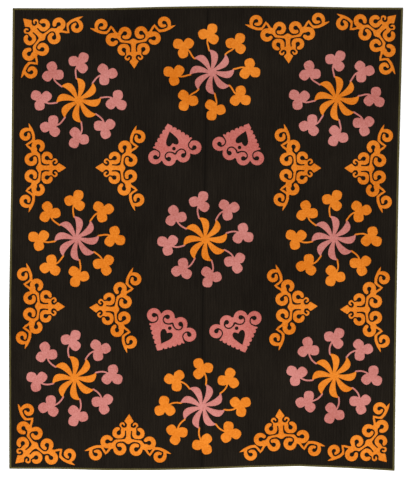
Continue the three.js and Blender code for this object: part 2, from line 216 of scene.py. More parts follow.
SCROLL_VOLUTES = [
    (0, (31, -84), [(100, 14, 5.5), (60, 10, 5.2), (-40, 9.5, 5.2), (-110, 9.5, 5.2), (-165, 9, 4.5)]),
    (0, (48, -46), [(215, 21, 10), (90, 21, 10), (-40, 20.5, 10), (-95, 19.5, 8.5)]),
    (0.15, (40, 35), [(-20, 21, 10), (90, 21.5, 10.5), (230, 21.5, 10.5), (300, 19, 8.5)]),
    (0.42, (102, 8), [(130, 20.5, 12), (60, 21, 11.5), (-60, 21.5, 11), (-145, 22, 9)]),
    (1, (153, 85), [
        (-40, 30, 7), (-10, 25, 9.5), (30, 22, 10), (90, 19.5, 10), (180, 19.5, 10), (235, 18, 9),
        (285, 15.5, 7.5),
    ]),
]
SCROLL_SLITS = [
    (0, 0, [(19, -95, 3), (13.7, -87, 4), (17, -78.5, 4), (25, -75.5, 3), (31, -79, 3), (32, -84, 4)]),
    (0, 0.2, [
        (14.5, -56, 2.3), (13, -42, 2.4), (13, -30, 2.4), (17, -20.5, 2.8), (27, -16, 2.4), (43, -13.5, 2.4),
        (60, -13, 2.6), (70, -16, 3.5),
    ]),
    (0, 0, [
        (47, -48, 8), (42, -58, 4), (39.8, -66, 3), (41.5, -72.5, 2.8), (46.5, -76.5, 2.8), (54, -78, 3),
    ]),
    (0.15, 0.15, [
        (24, 2, 3.2), (44, 3.5, 3.2), (55, 10, 3.4), (57, 20, 3.8), (52, 29, 5), (42, 34, 7.5),
    ]),
    (0.42, 0.42, [
        (100, 10, 7), (90, 8.8, 4.6), (80.5, 8, 3.8), (73.5, 3.5, 3.2), (69.5, -4, 3), (67.5, -11, 3.4),
    ]),
    (1, 1, [
        (131, 57.5, 2.4), (149, 58.5, 2.4), (160, 62, 2.6), (167, 67, 3), (167, 75, 3.4), (161, 82, 5),
        (154, 86, 7),
    ]),
]
SCROLL_BOX = ((-222, -6), (222, 266))

# Brackets: spear tip on the cloth, the way it points from the foot, and how far the ends of its arms sag and
# spread
SCROLLS = [
    ("head_left", -354, 831, 2, 5, 0),
    ("head_right", 399, 849, 2, 12, -2),
    ("foot_left", -359, -855, 178, 22, 3),
    ("foot_right", 380, -846, 184, 12, 2),
    ("left_upper", -681, 348, 90, 27, 9),
    ("inner_left_upper", -538, 350, -91, 12, 0),
    ("inner_right_upper", 569, 338, 89, 24, 3),
    ("right_upper", 682, 341, -91, 19, 8),
    ("left_lower", -675, -333, 89, 17, 1),
    ("inner_left_lower", -556, -335, -94, 10, 0),
    ("inner_right_lower", 563, -340, 92, 12, 1),
    ("right_lower", 673, -353, -90, 11, 0),
    ("corner_head_left", -898, 1079, -135, 11, 4),
    ("corner_head_right", 916, 1094, 134, 5, -3),
    ("corner_foot_left", -919, -1103, -47, 2, -4),
    ("corner_foot_right", 911, -1089, 43, 8, -2),
]

# Heart, right half, with its round hole near the origin and its point at the top, in rows like the bracket's.
# A disc is x, y and radius, and the nicks' places are shares of the edge from the point to the corner.
HEART_APEX = (0, 123)
HEART_CORNER = (99, 26)
NICKS = 5
FIRST_NICK = 0.225
NICK_PITCH = 0.17
NICK_HALF = 0.045
NICK_DEPTH = 8.0
EDGE_BOW = 3.0
HEART_BODY = [
    (90, 17), (82, 10), (75, 2), (72.5, -6), (73, -13), (77, -22), (84, -30), (80, -42), (66, -46), (56, -42),
    (51, -36), (49, -24), (40, -15.5), (29, -13), (15, -17.5), (7, -22), (0, -29),
]
HEART_VOLUTES = [
    ((99, -21.5), [
        (215, 22.5, 12), (270, 22.3, 11.8), (360, 22.3, 11.8), (440, 22.3, 11.8), (469, 22, 11.8),
        (495, 20.5, 10), (520, 18, 7), (538, 15.5, 4.5),
    ]),
    ((36, -46.5), [
        (5, 22.3, 11.5), (-90, 22.3, 11.5), (-180, 22.3, 11.5), (-234, 21.5, 10.7), (-258, 20.5, 9.7),
        (-278, 19, 8.2), (-301, 16.5, 5.7), (-318, 14.5, 4),
    ]),
]
HEART_BRIDGE = (0, -46, 13)
HEART_SLITS = [
    [
        (91, 17.5, 2.4), (87, 13.5, 2.6), (75, 2, 2.6), (73, -12, 2.7), (80, -25, 3.2), (90, -28, 6),
        (98, -22.5, 9),
    ],
    [
        (0, -30.5, 2.8), (7, -22, 2.6), (15, -17.5, 2.5), (29, -13, 2.5), (40, -15.5, 2.6), (49, -24, 2.8),
        (51, -36, 3.6), (45, -44.5, 6.5), (37, -46.5, 9.5),
    ],
]
HEART_CUT = [(0, 24.5), (7, 18), (15, 13.5), (22, 13), (29, 19), (31, 30), (27.5, 43), (15, 63), (0, 84)]
HEART_DOT = (0, -3, 9)
HEART_BOX = ((-144, -90), (144, 130))

# Hearts: middle on the cloth, and turn
HEARTS = [
    ("head_left", -155, 440, 14),
    ("head_right", 168, 440, -21),
    ("foot_left", -162, -441, 151),
    ("foot_right", 168, -449, -161),
]

# Colours, deep and faded, as sRGB values up to 255, and the light on the quilt, which they are divided by
CLOTH_SHADES = {
    "orange": ((208, 106, 14), (250, 148, 50)),
    "pink": ((182, 102, 92), (220, 144, 136)),
    "rose": ((184, 92, 83), (218, 131, 121)),
}
THREAD_SHADES = {
    "orange": ((205, 105, 25), (235, 140, 55)),
    "pink": ((180, 100, 92), (208, 130, 122)),
    "rose": ((178, 92, 85), (205, 120, 112)),
}
GROUND_SHADES = ((18, 14, 11), (42, 36, 29))
BINDING_SHADES = ((74, 68, 38), (102, 93, 54))
# Painted shade, darker towards the join of the two widths, in place of the shade in its groove: its colour,
# and its reach each side in millimetres
JOIN_PAINTED_SHADE_COLOUR = (25, 21, 17)
JOIN_PAINTED_SHADE_REACH = 16.0
RUNNING_COLOUR = (19, 15, 12)
ILLUMINATION = 1.64

# Grain of the cloths. Depths are in metres, and the ground's streaks run along the channels.
SLUB_SCALE = 420.0
THREAD_HEIGHT = 0.25
FADING_SCALE = 5.0
FINE_WEAVE_DEPTH = 0.0003
GROUND_WEAVE_DEPTH = 0.0004
RUNNING_HEIGHT = 0.8
STREAK_STRETCH = (1.0, 0.07, 1.0)
STREAK_SHARE = 0.5

# Room, in metres and watts
FLOOR_SIZE = 14.0
FLOOR_DROP = 0.0005
FLOOR_COLOUR = (0.9, 0.9, 0.9, 1)
LIGHT_SIZE = 2.2
LIGHTS = [
    ("left_light", (-3.6, 0.3, 2.8), 92),
    ("right_light", (3.6, -0.3, 2.8), 45),
    ("foot_light", (0, -3.6, 2.6), 140),
    ("head_light", (0, 3.6, 2.6), 42),
]
ROOM_COLOUR = (1, 1, 1, 1)
ROOM_LIGHT = 0.75
CAMERA_PLACE = (0, -0.0081, 6.534)
CAMERA_LENS = 100.0
SENSOR = 36.0


# The cloth's own shape

def wander(outs, share):
    """How far an edge stands out at a share of its length."""
    return np.interp(share, np.linspace(0, 1, len(outs)), outs)


def on_cloth(x, y):
    """Where a point of the straight rectangle lies on the quilt, whose edges wander."""
    across = x / WIDTH + 0.5
    along = y / LENGTH + 0.5
    left = -WIDTH / 2 - wander(LEFT_OUT, along)
    right = WIDTH / 2 + wander(RIGHT_OUT, along)
    foot = -LENGTH / 2 - wander(FOOT_OUT, across)
    head = LENGTH / 2 + wander(HEAD_OUT, across)
    return left + (right - left) * across, foot + (head - foot) * along


def straightened(x, y):
    """The point of the straight rectangle that lies at a place on the quilt."""
    straight_x, straight_y = np.array(x, float), np.array(y, float)
    for _ in range(STRAIGHTENING_ROUNDS):
        laid_x, laid_y = on_cloth(straight_x, straight_y)
        straight_x = straight_x + x - laid_x
        straight_y = straight_y + y - laid_y
    return straight_x, straight_y


# Plane shapes, as signed distances to their edges, below zero inside

def smoothed(rows, pieces=PATH_PIECES):
    """A smooth path through rows of numbers."""
    rows = np.array(rows, float)
    padded = np.vstack([2 * rows[0] - rows[1], rows, 2 * rows[-1] - rows[-2]])
    path = []
    for a, b, c, d in zip(padded, padded[1:], padded[2:], padded[3:]):
        for t in np.arange(pieces) / pieces:
            bend = (2 * a - 5 * b + 4 * c - d) * t**2 + (3 * b - a - 3 * c + d) * t**3
            path.append(b + ((c - a) * t + bend) / 2)
    return np.array(path + [rows[-1]])


def volute_path(eye, rows):
    """A strip's path round an eye, from rows of turn, distance and half width."""
    turns, distances, halves = smoothed(rows, VOLUTE_PIECES).T
    angles = np.radians(turns)
    x = eye[0] + distances * np.cos(angles)
    y = eye[1] + distances * np.sin(angles)
    return np.column_stack([x, y, halves])


def beside(points, start, end):
    """How far along a straight edge points lie, as a share of it, and their distance to it."""
    run = end - start
    offset = points - start
    share = np.clip(offset @ run / max(run @ run, TINY), 0, 1)
    return share, np.hypot(*(offset - share[:, None] * run).T)


def strip(points, path):
    """Distance to a strip along a path of x, y and half width."""
    nearest = np.full(len(points), np.inf)
    for start, end in zip(path, path[1:]):
        share, gap = beside(points, start[:2], end[:2])
        nearest = np.minimum(nearest, gap - start[2] - (end[2] - start[2]) * share)
    return nearest


def disc(points, x, y, radius):
    """Distance to a round disc."""
    return np.hypot(points[:, 0] - x, points[:, 1] - y) - radius


def joined(a, b):
    """Distance to two shapes in one piece, with the corners between them rounded."""
    near = np.clip(1 - np.abs(a - b) / CORNER, 0, 1)
    return np.minimum(a, b) - near**2 * CORNER / 4


def cut_away(a, b):
    """Distance to a shape that another one is cut out of."""
    return -joined(-a, b)


def edge_distance(points, starts, ends):
    """Distance to the nearest of many straight edges."""
    nearest = np.full(len(points), np.inf)
    for start, end in zip(starts, ends):
        nearest = np.minimum(nearest, beside(points, start, end)[1])
    return nearest


def enclosed(points, starts, ends):
    """Which points an odd number of edges lies beside."""
    inside = np.zeros(len(points), bool)
    x, y = points.T
    for (ax, ay), (bx, by) in zip(starts, ends):
        if ay == by:
            continue
        crosses = (ay > y) != (by > y)
        inside ^= crosses & (x < ax + (y - ay) * (bx - ax) / (by - ay))
    return inside


def polygon(points, corners):
    """Distance to a closed shape with straight edges."""
    starts = np.array(corners, float)
    ends = np.roll(starts, -1, 0)
    gap = edge_distance(points, starts, ends)
    return np.where(enclosed(points, starts, ends), -gap, gap)


def polar(radius, degrees):
    """A point at a distance from the origin and a turn from the x axis."""
    angle = math.radians(degrees)
    return np.array([radius * math.cos(angle), radius * math.sin(angle)])


def turned(points, degrees):
    """Points turned anticlockwise about the origin."""
    cosine, sine = math.cos(math.radians(degrees)), math.sin(math.radians(degrees))
    return points @ np.array([[cosine, sine], [-sine, cosine]])


def mirrored(points):
    """Points folded over the middle onto the right half."""
    return np.column_stack([np.abs(points[:, 0]), points[:, 1]])


def cubic(start, pulls, end, steps):
    """Points of a cubic curve after its start, up to its end."""
    a, b, c, d = (np.array(p, float) for p in (start, *pulls, end))
    shares = (np.arange(steps) + 1) / steps
    return [(1 - t) ** 3 * a + 3 * t * (1 - t) ** 2 * b + 3 * t**2 * (1 - t) * c + t**3 * d for t in shares]


# The motifs

def whirl_field(points):
    """Eight comma blades round a hub."""
    root = polar(WHIRL_HUB, -BLADE_STEP / 2)
    after = polar(WHIRL_HUB, BLADE_STEP / 2)
    blade = [root]
    blade += cubic(root, BELLY_PULLS, BLADE_TIP, BLADE_CURVE_STEPS)
    blade += cubic(BLADE_TIP, HOLLOW_PULLS, after, BLADE_CURVE_STEPS)[:-1]
    corners = np.vstack([turned(np.array(blade), k * BLADE_STEP) for k in range(BLADES)])
    return polygon(points, corners)


def sprig_field(points, hand, lean, tilt):
    """One sprig: its stem, first under the blade, and a trefoil of three squarish lobes."""
    middle = polar(TREFOIL_RADIUS, TREFOIL_TURN + lean * hand)
    axis = TREFOIL_AXIS + tilt
    flip = np.array([1, hand])
    pulls = [(STEM_START + STEM_START_PULL, 0), middle - polar(LOBE_DISTANCE + STEM_END_PULL, axis)]
    curve = cubic((STEM_START, 0), pulls, middle - polar(STEM_END, axis), STEM_CURVE_STEPS)
    path = np.vstack([[0, 0], polar(*HIDDEN_STEM), [STEM_START, 0], np.array(curve) * flip])
    path = np.column_stack([path, np.full(len(path), STEM_HALF)])
    gap = joined(strip(points, path), disc(points, *(middle * flip), TREFOIL_HEART))
    for turn in (-LOBE_SPREAD, 0, LOBE_SPREAD):
        away = points - (middle + polar(LOBE_DISTANCE, axis + turn)) * flip
        away = np.abs(turned(away, -(axis + turn + LOBE_TURN) * hand))
        reach = (away**LOBE_SQUARENESS).sum(1) ** (1 / LOBE_SQUARENESS)
        gap = joined(gap, reach - LOBE_RADIUS)
    return gap


def spray_field(points, hand, lean, tilts):
    """Eight sprigs whose stems meet under the whirl."""
    tip_turn = math.degrees(math.atan2(BLADE_TIP[1], BLADE_TIP[0]))
    gap = disc(points, 0, 0, SPRIG_HUB)
    for k in range(BLADES):
        local = turned(points, -tip_turn - k * BLADE_STEP)
        ahead = np.abs(np.degrees(np.arctan2(local[:, 1], local[:, 0]))) < 2 * BLADE_STEP
        near = sprig_field(local[ahead], hand, lean, tilts[k % 2])
        gap[ahead] = np.minimum(gap[ahead], near)
    return gap


def bent(path, first, last, sag, spread):
    """A path of a bracket's right arm, sagging and spreading more from its first to its last row."""
    share = np.linspace(first, last, len(path))
    return path + np.column_stack([spread * share, -sag * share, np.zeros(len(path))])


def scroll_field(points, sag, spread):
    """A bracket of volutes on two arms, over a stem with a spear, as far bent as its cutter let it."""
    half = mirrored(points + (0, SPEAR_TIP))
    cloth = polygon(half, SPEAR)
    paths = [bent(smoothed(rows), first, last, sag, spread) for first, last, rows in SCROLL_STRIPS]
    paths += [bent(volute_path(eye, rows), share, share, sag, spread) for share, eye, rows in SCROLL_VOLUTES]
    for path in paths:
        cloth = joined(cloth, strip(half, path))
    for first, last, rows in SCROLL_SLITS:
        cloth = cut_away(cloth, strip(half, bent(smoothed(rows), first, last, sag, spread)))
    return cloth


def pinked_edge():
    """The heart's edge from its corner up to its point, with nicks cut into it."""
    apex, corner = np.array(HEART_APEX, float), np.array(HEART_CORNER, float)
    along = corner - apex
    inward = np.array([along[1], -along[0]]) / np.hypot(*along)
    edge = [apex]
    for k in range(NICKS):
        middle = FIRST_NICK + k * NICK_PITCH
        for share, depth in ((middle - NICK_HALF, 0), (middle, NICK_DEPTH), (middle + NICK_HALF, 0)):
            inset = depth - EDGE_BOW * math.sin(math.pi * share)
            edge.append(apex + along * share + inward * inset)
    return [corner, *edge[:0:-1], apex]


def heart_field(points):
    """A heart with two pairs of volutes, a cut-out heart and a round hole."""
    half = mirrored(points)
    foot = (PAST_MIDDLE, HEART_BODY[-1][1])
    top = (PAST_MIDDLE, HEART_APEX[1])
    cloth = polygon(half, [foot, *HEART_BODY[::-1], *pinked_edge(), top])
    for eye, rows in HEART_VOLUTES:
        cloth = joined(cloth, strip(half, volute_path(eye, rows)))
    cloth = joined(cloth, disc(half, *HEART_BRIDGE))
    for rows in HEART_SLITS:
        cloth = cut_away(cloth, strip(half, smoothed(rows)))
    cut_heart = [(PAST_MIDDLE, HEART_CUT[0][1]), *smoothed(HEART_CUT), (PAST_MIDDLE, HEART_CUT[-1][1])]
    cloth = cut_away(cloth, polygon(half, cut_heart))
    return cut_away(cloth, disc(half, *HEART_DOT))


# Cutting a motif out of cloth

# Sides of a grid square that an edge enters and leaves by, for each set of its corners inside the shape
SQUARE_EDGES = {
    1: [(0, 3)], 2: [(1, 0)], 3: [(1, 3)], 4: [(2, 1)], 5: [(0, 3), (2, 1)], 6: [(2, 0)], 7: [(2, 3)],
    8: [(3, 2)], 9: [(0, 2)], 10: [(1, 0), (3, 2)], 11: [(1, 2)], 12: [(3, 1)], 13: [(0, 1)], 14: [(3, 0)],
}


def edge_loops(field, low):
    """Closed loops round the inside of a shape that is sampled on a grid, with the inside to their left."""
    inside = field < 0
    kinds = inside[:-1, :-1] + 2 * inside[:-1, 1:] + 4 * inside[1:, 1:] + 8 * inside[1:, :-1]

    def crossing(row, column, side):
        corners = [(row, column), (row, column + 1), (row + 1, column + 1), (row + 1, column)]
        return tuple(sorted((corners[side], corners[(side + 1) % 4])))

    follows = {}
    for row, column in zip(*np.nonzero((kinds > 0) & (kinds < 15))):
        for enter, leave in SQUARE_EDGES[int(kinds[row, column])]:
            follows[crossing(row, column, enter)] = crossing(row, column, leave)

    loops = []
    while follows:
        key = next(iter(follows))
        loop = []
        while key in follows:
            (row_a, column_a), (row_b, column_b) = key
            value_a, value_b = field[row_a, column_a], field[row_b, column_b]
            share = value_a / (value_a - value_b)
            place = (column_a + (column_b - column_a) * share, row_a + (row_b - row_a) * share)
            loop.append(low + CUT_GRID * np.array(place))
            key = follows.pop(key)
        loops.append(np.array(loop))
    return loops


def thinned(loop):
    """The points of a closed loop that its shape needs."""
    ring = np.vstack([loop, loop[:1]])
    far = int(np.argmax(np.hypot(*(loop - loop[0]).T)))
    keep = np.zeros(len(loop), bool)
    keep[[0, far]] = True
    runs = [(0, far), (far, len(loop))]
    while runs:
        start, end = runs.pop()
        if end - start < 2:
            continue
        chord = ring[end] - ring[start]
        offset = ring[start + 1 : end] - ring[start]
        bulge = np.abs(offset[:, 0] * chord[1] - offset[:, 1] * chord[0]) / max(np.hypot(*chord), TINY)
        middle = start + 1 + int(np.argmax(bulge))
        if bulge.max() > CUT_TOLERANCE:
            keep[middle] = True
            runs += [(start, middle), (middle, end)]
    return loop[keep]


def spaced(loop):
    """A loop with its shortest edges joined and its longest ones divided."""
    kept = [loop[0]]
    for point in loop[1:]:
        if np.hypot(*(point - kept[-1])) > SHORTEST_EDGE:
            kept.append(point)
    made = []
    for start, end in zip(kept, kept[1:] + kept[:1]):
        count = max(1, math.ceil(np.hypot(*(end - start)) / LONGEST_EDGE))
        made += [start + (end - start) * k / count for k in range(count)]
    return np.array(made)


def staggered(low, high):
    """Points in staggered rows, all the inner spacing apart."""
    row_height = INNER_SPACING * math.sqrt(3) / 2
    columns = np.arange(low[0], high[0], INNER_SPACING)
    rows = []
    for k, y in enumerate(np.arange(low[1], high[1], row_height)):
        rows.append(np.column_stack([columns + INNER_SPACING / 2 * (k % 2), np.full(len(columns), y)]))
    return np.vstack(rows)


def grid_value(motif, points):
    """A motif's signed distance at points of its plane, and a large one off its grid."""
    field = motif["field"]
    column, row = ((points - motif["low"]) / CUT_GRID).T
    rows, columns = field.shape
    on_grid = (column >= 0) & (row >= 0) & (column < columns - 1) & (row < rows - 1)
    left, below = np.floor(column[on_grid]).astype(int), np.floor(row[on_grid]).astype(int)
    u, v = column[on_grid] - left, row[on_grid] - below
    lower = field[below, left] * (1 - u) + field[below, left + 1] * u
    upper = field[below + 1, left] * (1 - u) + field[below + 1, left + 1] * u
    value = np.full(len(points), FAR_OFF)
    value[on_grid] = lower * (1 - v) + upper * v
    return value


def triangles(points, edges, starts, ends):
    """The triangles between points that lie inside the edges, anticlockwise, without slivers."""
    whole_hull, epsilon, with_sources = 0, 1e-6, True
    _, _, faces, sources, _, _ = delaunay_2d_cdt(
        [Vector(p) for p in points], edges, [], whole_hull, epsilon, with_sources)
    origin = [source[0] if source else -1 for source in sources]
    corners = np.array([[origin[k] for k in face] for face in faces])
    corners = corners[(corners >= 0).all(1)]
    a, b, c = (points[corners[:, k]] for k in range(3))
    area = (b[:, 0] - a[:, 0]) * (c[:, 1] - a[:, 1]) - (b[:, 1] - a[:, 1]) * (c[:, 0] - a[:, 0])
    corners[area < 0] = corners[area < 0][:, ::-1]
    return corners[enclosed((a + b + c) / 3, starts, ends) & (np.abs(area) > SLIVER)]


def cut_out(field_at, low, high):
    """A motif cut to its outline: its loops, and the triangles of its face and of its back."""
    low = np.array(low, float)
    columns, rows = (int((end - start) / CUT_GRID) + 2 for start, end in zip(low, high))
    x, y = np.meshgrid(low[0] + CUT_GRID * np.arange(columns), low[1] + CUT_GRID * np.arange(rows))
    field = field_at(np.column_stack([x.ravel(), y.ravel()])).reshape(x.shape)
    motif = {"field": field, "low": low}

    loops = [spaced(thinned(loop)) for loop in edge_loops(field, low) if len(loop) > PINHOLE]
    starts = np.vstack(loops)
    ends = np.vstack([np.roll(loop, -1, 0) for loop in loops])
    before = np.vstack([np.roll(loop, 1, 0) for loop in loops])
    heading = ends - before
    inward = np.column_stack([-heading[:, 1], heading[:, 0]]) / np.hypot(*heading.T)[:, None]

    rounding = starts + inward * ROUNDING
    rounding = rounding[edge_distance(rounding, starts, ends) > ROUNDING_CLEAR]
    rounding = rounding[enclosed(rounding, starts, ends)]
    inner = staggered(low, high)
    inner = inner[grid_value(motif, inner) < -INNER_CLEAR]
    inner = inner[edge_distance(inner, starts, ends) > ROUNDING + INNER_CLEAR]

    edges = []
    for loop in loops:
        first = len(edges)
        edges += [(first + k, first + (k + 1) % len(loop)) for k in range(len(loop))]
    face = np.vstack([starts, rounding, inner])
    insets = edge_distance(face[len(starts) :], starts, ends)
    motif["points"] = face
    motif["edges"] = np.array(edges)
    motif["inset"] = np.concatenate([np.zeros(len(starts)), insets])
    motif["face"] = triangles(face, edges, starts, ends)
    motif["back"] = triangles(starts, edges, starts, ends)
    return motif


@dataclass
class Patch:
    """A motif sewn on at a place, with a turn."""

    name: str
    motif: dict
    cloth: str
    x: float
    y: float
    turn: float
    lift: float = 0.0
    over: "Patch" = None

    def place(self, points):
        """Where points of the motif's plane lie on the quilt."""
        return turned(points, self.turn) + on_cloth(self.x, self.y)

    def inset(self, places):
        """Signed distance from places on the quilt to the patch's edge, below zero on the patch."""
        return grid_value(self.motif, turned(places - np.array(on_cloth(self.x, self.y)), -self.turn))


def cut_patches():
    """Every piece of sewn-on cloth, in the order that it is laid."""
    patches = []
    whirl = cut_out(whirl_field, (-WHIRL_REACH, -WHIRL_REACH), (WHIRL_REACH, WHIRL_REACH))
    for k, (x, y, turn, lean, tilts, hand, cloth) in enumerate(WREATHS, 1):
        other_cloth = "pink" if cloth == "orange" else "orange"
        sprigs = partial(spray_field, hand=hand, lean=lean, tilts=tilts)
        spray = cut_out(sprigs, (-SPRAY_REACH, -SPRAY_REACH), (SPRAY_REACH, SPRAY_REACH))
        top = Patch(f"whirl_{k}", whirl, cloth, x, y, turn, lift=WHIRL_LIFT)
        patches += [Patch(f"spray_{k}", spray, other_cloth, x, y, turn, over=top), top]

    for name, x, y, turn, sag, spread in SCROLLS:
        scroll = cut_out(partial(scroll_field, sag=sag, spread=spread), *SCROLL_BOX)
        patches.append(Patch(f"scroll_{name}", scroll, "orange", x, y, turn))
    heart = cut_out(heart_field, *HEART_BOX)
    for name, x, y, turn in HEARTS:
        patches.append(Patch(f"heart_{name}", heart, "rose", x, y, turn))
    return patches


# Meshes

def eased(value):
    """A smooth step from 0 to 1."""
    share = np.clip(value, 0, 1)
    return share * share * (3 - 2 * share)


def on_floor(places):
    """Places on the quilt as points at height zero."""
    return np.column_stack([places, np.zeros(len(places))])


def new_mesh(name, points, faces, edges=(), **kept):
    """A smooth mesh from points in millimetres, with numbers kept for each point."""
    mesh = bpy.data.meshes.new(name)
    mesh.from_pydata((np.array(points) * MM).tolist(), list(edges), faces)
    mesh.polygons.foreach_set("use_smooth", np.ones(len(mesh.polygons), bool))
    for label, values in kept.items():
        mesh.attributes.new(label, "FLOAT", "POINT").data.foreach_set("value", np.array(values, np.float32))
    mesh.update()
    return mesh


def patch_mesh(patch):
    """A patch as a thin closed skin with rounded edges, its heights kept for the quilting to add to."""
    motif = patch.motif
    places = patch.place(motif["points"])
    rim_count = len(motif["edges"])
    rounded = PATCH_EDGE + (PATCH_THICKNESS - PATCH_EDGE) * eased(motif["inset"] / ROUNDING)
    lift = rounded + PATCH_PUFF * (1 - np.exp(-motif["inset"] / PUFF_RUN)) + patch.lift
    if patch.over:
        lift = lift + STEM_SINK * eased((STEM_SINK_EDGE - patch.over.inset(places)) / SINK_RUN)
    under = lift[:rim_count] - PATCH_EDGE + PATCH_UNDER

    whole = np.vstack([places, places[:rim_count]])
    across, along = straightened(*whole.T)
    base = len(places)
    faces = motif["face"].tolist()
    faces += (motif["back"][:, ::-1] + base).tolist()
    faces += [(a + base, b + base, b, a) for a, b in motif["edges"].tolist()]
    lifts = np.concatenate([lift, under])
    return new_mesh(patch.name, on_floor(whole), faces, across=across, along=along, lift=lifts)


def edge_mesh(cloth, patches):
    """The edges of every patch of one cloth, as loops for stitches to follow."""
    rims, edges, lifts, count = [], [], [], 0
    for patch in patches:
        if patch.cloth != cloth:
            continue
        rim_count = len(patch.motif["edges"])
        rims.append(patch.place(patch.motif["points"][:rim_count]))
        edges.append(patch.motif["edges"] + count)
        lifts.append(np.full(rim_count, PATCH_EDGE + patch.lift))
        count += rim_count
    places = np.vstack(rims)
    across, along = straightened(*places.T)
    lift = np.concatenate(lifts)
    pairs = np.vstack(edges).tolist()
    return new_mesh(cloth + "_loops", on_floor(places), [], pairs, across=across, along=along, lift=lift)


def ground_mesh(side, patches):
    """One of the two joined widths, closed, with its face in columns that follow the channels."""
    columns = np.linspace(0, FIELD_X, CHANNELS_EACH_SIDE * COLUMNS_PER_CHANNEL + 1)
    columns = np.append(columns, WIDTH / 2 - MARGIN_INSET)
    columns = np.sort(side * columns)
    margin = LENGTH / 2 - MARGIN_INSET
    rows = np.concatenate([[-margin], np.linspace(-FIELD_Y, FIELD_Y, ROWS), [margin]])
    across, along = (grid.ravel() for grid in np.meshgrid(columns, rows))
    places = np.column_stack(on_cloth(across, along))

    nearest = np.full(len(places), FAR_OFF)
    for patch in patches:
        nearest = np.minimum(nearest, patch.inset(places))
    sink = GROUND_SINK * eased((GROUND_SINK_EDGE - nearest) / SINK_RUN)
    in_width = np.abs(across) <= FIELD_X + FIELD_TOLERANCE
    in_length = np.abs(along) <= FIELD_Y + FIELD_TOLERANCE
    field = in_width & in_length

    width, height = len(columns), len(rows)
    number = np.arange(width * height).reshape(height, width)
    corners = (number[:-1, :-1], number[:-1, 1:], number[1:, 1:], number[1:, :-1])
    faces = np.column_stack([c.ravel() for c in corners]).tolist()
    loop = [*number[0, :-1], *number[:-1, -1], *number[-1, :0:-1], *number[:0:-1, 0]]
    base = width * height
    count = len(loop)
    for k, top in enumerate(loop):
        after = (k + 1) % count
        faces.append((base + k, base + after, loop[after], top))
    faces.append([base + k for k in range(count)][::-1])

    points = on_floor(np.vstack([places, places[loop]]))
    across, along = np.append(across, across[loop]), np.append(along, along[loop])
    kind = np.concatenate([np.where(field, FIELD, MARGIN), np.full(count, UNDERSIDE)])
    lift = np.concatenate([sink * field, np.zeros(count)])
    return new_mesh("ground", points, faces, across=across, along=along, lift=lift, kind=kind)


def binding_mesh(name, turn):
    """A folded strip along one edge, rounded, with mitred ends."""
    half_out, half_along = (LENGTH / 2, WIDTH / 2) if turn % 2 == 0 else (WIDTH / 2, LENGTH / 2)
    out = np.array([(0, -1), (1, 0), (0, 1), (-1, 0)][turn])
    way = np.array([-out[1], out[0]])
    count = int(2 * half_along / BINDING_STEP)
    share = np.linspace(-1, 1, count)
    uneven = sum(size * np.sin(share * half_along / run + shift * turn) for size, run, shift in FOLD_WAVES)
    uneven = uneven * (1 - share**FOLD_FADE)
    loops = []
    for inset, z in BINDING_SECTION:
        inner = inset + uneven * (inset > FOLD_INSET)
        along = share * (half_along - inset - MITRE_GAP)
        x, y = on_cloth(*(along[:, None] * way + (half_out - inner)[:, None] * out).T)
        loops.append(np.column_stack([x, y, np.full(count, z)]))
    points = np.stack(loops, 1).reshape(-1, 3)
    size = len(BINDING_SECTION)
    faces = []
    for station in range(count - 1):
        for k in range(size):
            a, b = station * size + k, station * size + (k + 1) % size
            faces.append((a, a + size, b + size, b))
    faces.append(list(range(size)))
    faces.append([(count - 1) * size + k for k in range(size)][::-1])
    return new_mesh(name, points, faces)


# Node trees

NUMBER = "NodeSocketFloat"
MESH_IN = ("Mesh", "NodeSocketGeometry", None)
MESH_OUT = ("Mesh", "NodeSocketGeometry")
CLOTH_IN = ("Cloth", "NodeSocketMaterial", None)
PLACE_IN = ("Place", "NodeSocketVector", None)


def numbers(**values):
    """Inputs of a node group that are numbers, with their values."""
    return [(label, NUMBER, value) for label, value in values.items()]


def new_group(name, kind, inputs, outputs):
    """An empty node group, with the sockets of its inputs and outputs by name."""
    tree = bpy.data.node_groups.new(name, kind)
    for label, socket_type, value in inputs:
        socket = tree.interface.new_socket(name=label, in_out="INPUT", socket_type=socket_type)
        if value is not None:
            socket.default_value = value
    for label, socket_type in outputs:
        tree.interface.new_socket(name=label, in_out="OUTPUT", socket_type=socket_type)
    return tree, tree.nodes.new("NodeGroupInput").outputs, tree.nodes.new("NodeGroupOutput").inputs


def add_node(tree, kind, inputs=None, **settings):
    """A node with its settings made and its inputs set, or linked where a socket is given."""
    made = tree.nodes.new(kind)
    for label, value in settings.items():
        setattr(made, label, value)
    for key, value in (inputs or {}).items():
        if isinstance(value, bpy.types.NodeSocket):
            tree.links.new(value, made.inputs[key])
        else:
            made.inputs[key].default_value = value
    return made


def work_out(tree, operation, *values):
    """The result of one sum on numbers or sockets."""
    return add_node(tree, "ShaderNodeMath", dict(enumerate(values)), operation=operation).outputs[0]


def product(tree, first, *others):
    """Numbers or sockets multiplied together."""
    for other in others:
        first = work_out(tree, "MULTIPLY", first, other)
    return first


def total(tree, first, *others):
    """Numbers or sockets added up."""
    for other in others:
        first = work_out(tree, "ADD", first, other)
    return first


def less(tree, first, other):
    """A number or socket less another one."""
    return work_out(tree, "SUBTRACT", first, other)


def clamped(tree, value):
    """A value kept between 0 and 1."""
    return add_node(tree, "ShaderNodeClamp", {0: value}).outputs[0]


def near_zero(tree, value, reach):
    """1 where a value is 0, down to 0 where it is as large as a reach."""
    return clamped(tree, less(tree, 1.0, work_out(tree, "DIVIDE", value, reach)))


def noise(tree, place, scale, detail=2.0, roughness=0.5, seed=0.0):
    """Smooth noise about zero, from -0.5 to 0.5."""
    values = {"Vector": place, "W": seed, "Scale": scale, "Detail": detail, "Roughness": roughness}
    made = add_node(tree, "ShaderNodeTexNoise", values, noise_dimensions="4D")
    return less(tree, made.outputs[0], 0.5)


